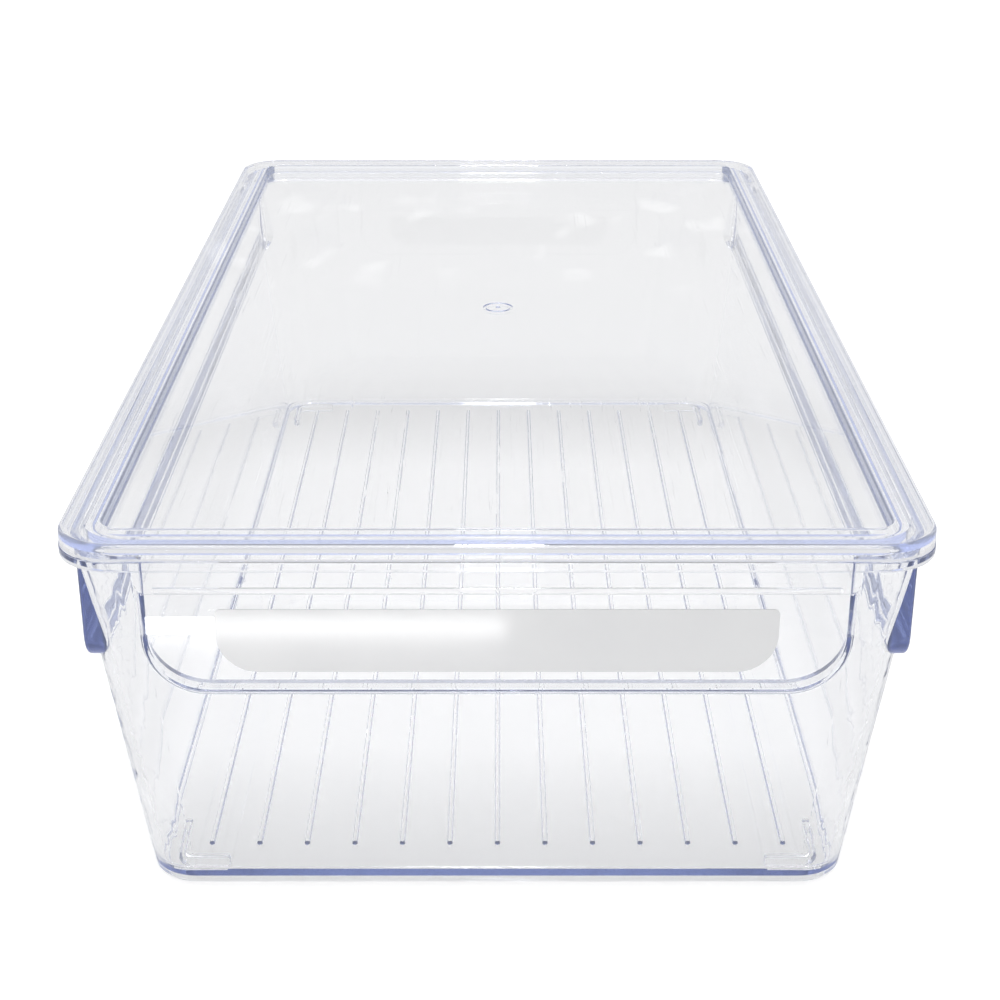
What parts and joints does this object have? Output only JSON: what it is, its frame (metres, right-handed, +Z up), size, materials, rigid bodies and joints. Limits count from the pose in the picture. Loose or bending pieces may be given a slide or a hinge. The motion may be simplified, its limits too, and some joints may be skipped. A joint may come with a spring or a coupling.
{
  "type": "lidded fridge bin",
  "caption": "Clear rectangular storage bin with leaning walls, a U-shaped front pull panel, side grips, a ribbed floor and a flush lift-off lid with a sunk middle.",
  "frame": {"origin": "middle of the surface the bin stands on, under the centre of its rim outline", "axes": "+Z up, +X to the right, -Y to the front where the pull panel is; +Y is the longest way"},
  "size_m": [0.203, 0.368, 0.1028],
  "materials": {
    "clear_tub": "clear polystyrene moulding, glossy, faint blue tint at thick edges",
    "clear_lid": "clear polystyrene moulding, glossy, faint blue tint at thick edges, fine hairline scuffs",
    "frosted_label": "translucent frosted film, satin, for writing on"
  },
  "bodies": {
    "tub": {"bin_body": "clear_tub", "label_film": "frosted_label"},
    "lid": {"lid": "clear_lid"}
  },
  "joints": [
    {"name": "lid_lift", "type": "slide", "parent": "tub", "child": "lid", "axis": [0, 0, 1], "range_m": [0, 0.15]}
  ]
}
